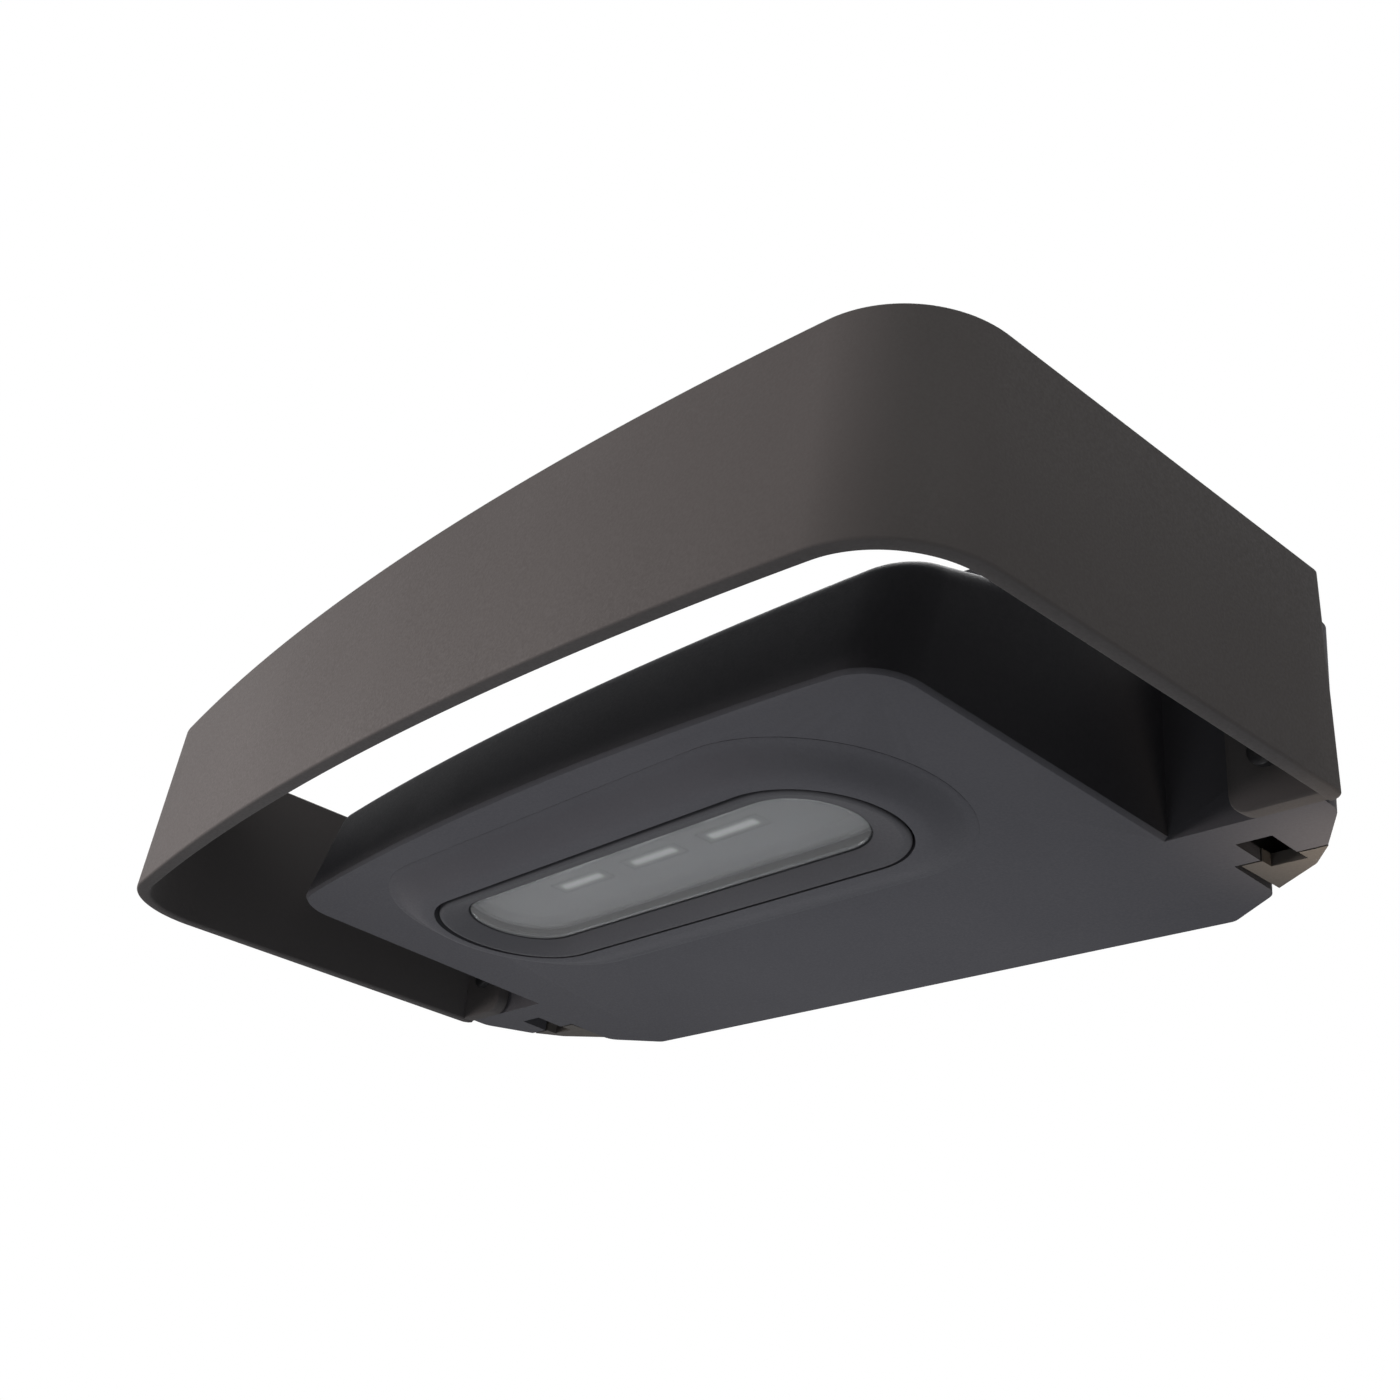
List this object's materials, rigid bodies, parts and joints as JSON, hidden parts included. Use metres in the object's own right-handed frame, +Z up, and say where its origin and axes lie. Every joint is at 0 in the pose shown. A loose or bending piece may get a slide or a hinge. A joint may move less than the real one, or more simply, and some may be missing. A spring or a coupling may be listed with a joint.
{
  "type": "wall pack light",
  "caption": "Outdoor wall light: wedge-shaped cast lamp housing with a downward racetrack lens, a free-standing hood band round it, hinged to a wall box.",
  "frame": {"origin": "middle of the back box's wall face, where the light meets the wall", "axes": "+X along the wall, to the right seen from in front; +Y into the wall; +Z up"},
  "size_m": [0.33, 0.191, 0.1082],
  "materials": {
    "dark_paint": "fine-textured charcoal powder coat",
    "band_paint": "fine-textured charcoal powder coat",
    "bezel_paint": "satin graphite paint",
    "seal": "matt silicone",
    "glass": "lightly frosted",
    "reflector_white": "semi-gloss white",
    "board_white": "white solder mask",
    "array_yellow": "phosphor",
    "heat_sheet": "soft grey sheet",
    "raw_aluminium": "milled",
    "screw_steel": "plated",
    "driver_shell": "anodised",
    "brass": "turned",
    "plug_paint": "fine-textured charcoal powder coat",
    "block_plastic": "moulded nylon",
    "surge_plastic": "potted case",
    "earth_green": "green passivated"
  },
  "bodies": {
    "wall_box": {"back_box": "dark_paint", "rim_seal": "seal", "wall_seal": "seal", "box_inserts": "brass", "conduit_plugs": "plug_paint", "hinge_pins": "screw_steel", "terminal_block": "block_plastic", "surge_protector": "surge_plastic", "earth_screw": "earth_green"},
    "lamp_door": {"hood_band": "band_paint", "band_screws": "screw_steel", "lamp_housing": "dark_paint", "lens_bezel": "bezel_paint", "bezel_gasket": "seal", "lens_seal": "seal", "lens_glass": "glass", "lens_retainer": "raw_aluminium", "retainer_screws": "screw_steel", "reflector": "reflector_white", "led_board": "board_white", "led_arrays": "array_yellow", "board_screws": "screw_steel", "thermal_sheet": "heat_sheet", "heat_spreader": "raw_aluminium", "spreader_screws": "screw_steel", "driver_case": "driver_shell", "driver_bracket": "raw_aluminium", "driver_screws": "screw_steel", "door_screws": "screw_steel", "screw_clips": "screw_steel"}
  },
  "joints": [
    {"name": "door_hinge", "type": "hinge", "parent": "wall_box", "child": "lamp_door", "pos_m": [0, -0.0066, -0.0482], "axis": [1, 0, 0], "range_deg": [0, 80]}
  ]
}
